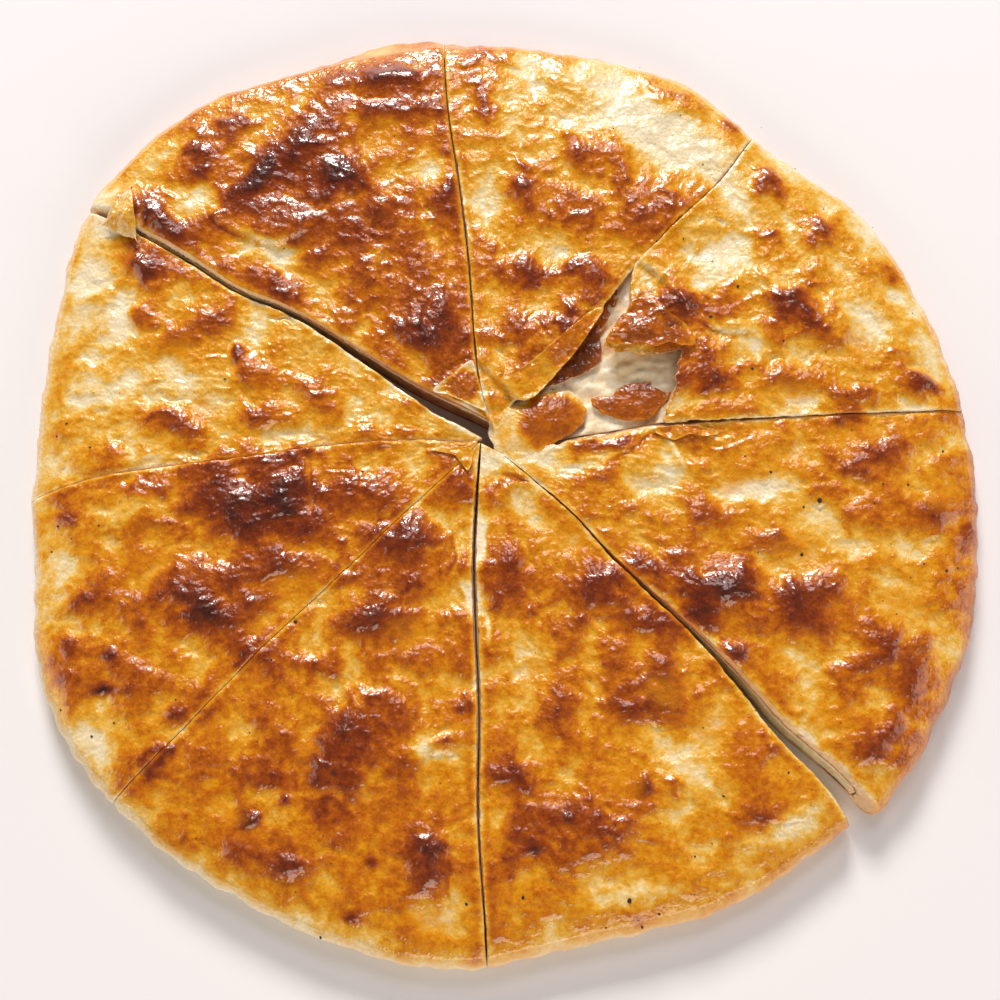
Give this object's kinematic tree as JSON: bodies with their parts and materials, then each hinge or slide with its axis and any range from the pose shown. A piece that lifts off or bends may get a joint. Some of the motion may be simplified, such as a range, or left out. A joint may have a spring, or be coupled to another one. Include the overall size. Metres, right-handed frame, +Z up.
{
  "type": "imeruli khachapuri",
  "caption": "Flat round cheese-filled bread with a blistered, buttered crust, cut through into wedge slices that still lie together, its top crust torn open beside the middle.",
  "frame": {"origin": "under the middle of the bread's bounding box, on the surface it lies on", "axes": "+Z up through the bread, +Y towards the back, +X to the right; the widest open cut points to +X -Y"},
  "size_m": [0.3008, 0.3009, 0.0179],
  "materials": {
    "crust": "baked dough, golden with dark brown blisters, glossy with butter",
    "curd": "baked curd cheese and crumb, cream, moist and slightly rough",
    "flake": "torn pieces of top crust, deep brown to cream, glossy with butter"
  },
  "bodies": {
    "root": {"crust_ene": "crust", "filling_ene": "curd", "crust_nne": "crust", "filling_nne": "curd", "crust_nnw": "crust", "filling_nnw": "curd", "crust_wnw": "crust", "filling_wnw": "curd", "crust_wsw": "crust", "filling_wsw": "curd", "crust_ssw": "crust", "filling_ssw": "curd", "crust_sse": "crust", "filling_sse": "curd", "crust_ese": "crust", "filling_ese": "curd", "flake_round": "flake", "flake_red": "flake", "flake_dark": "flake"}
  },
  "joints": []
}
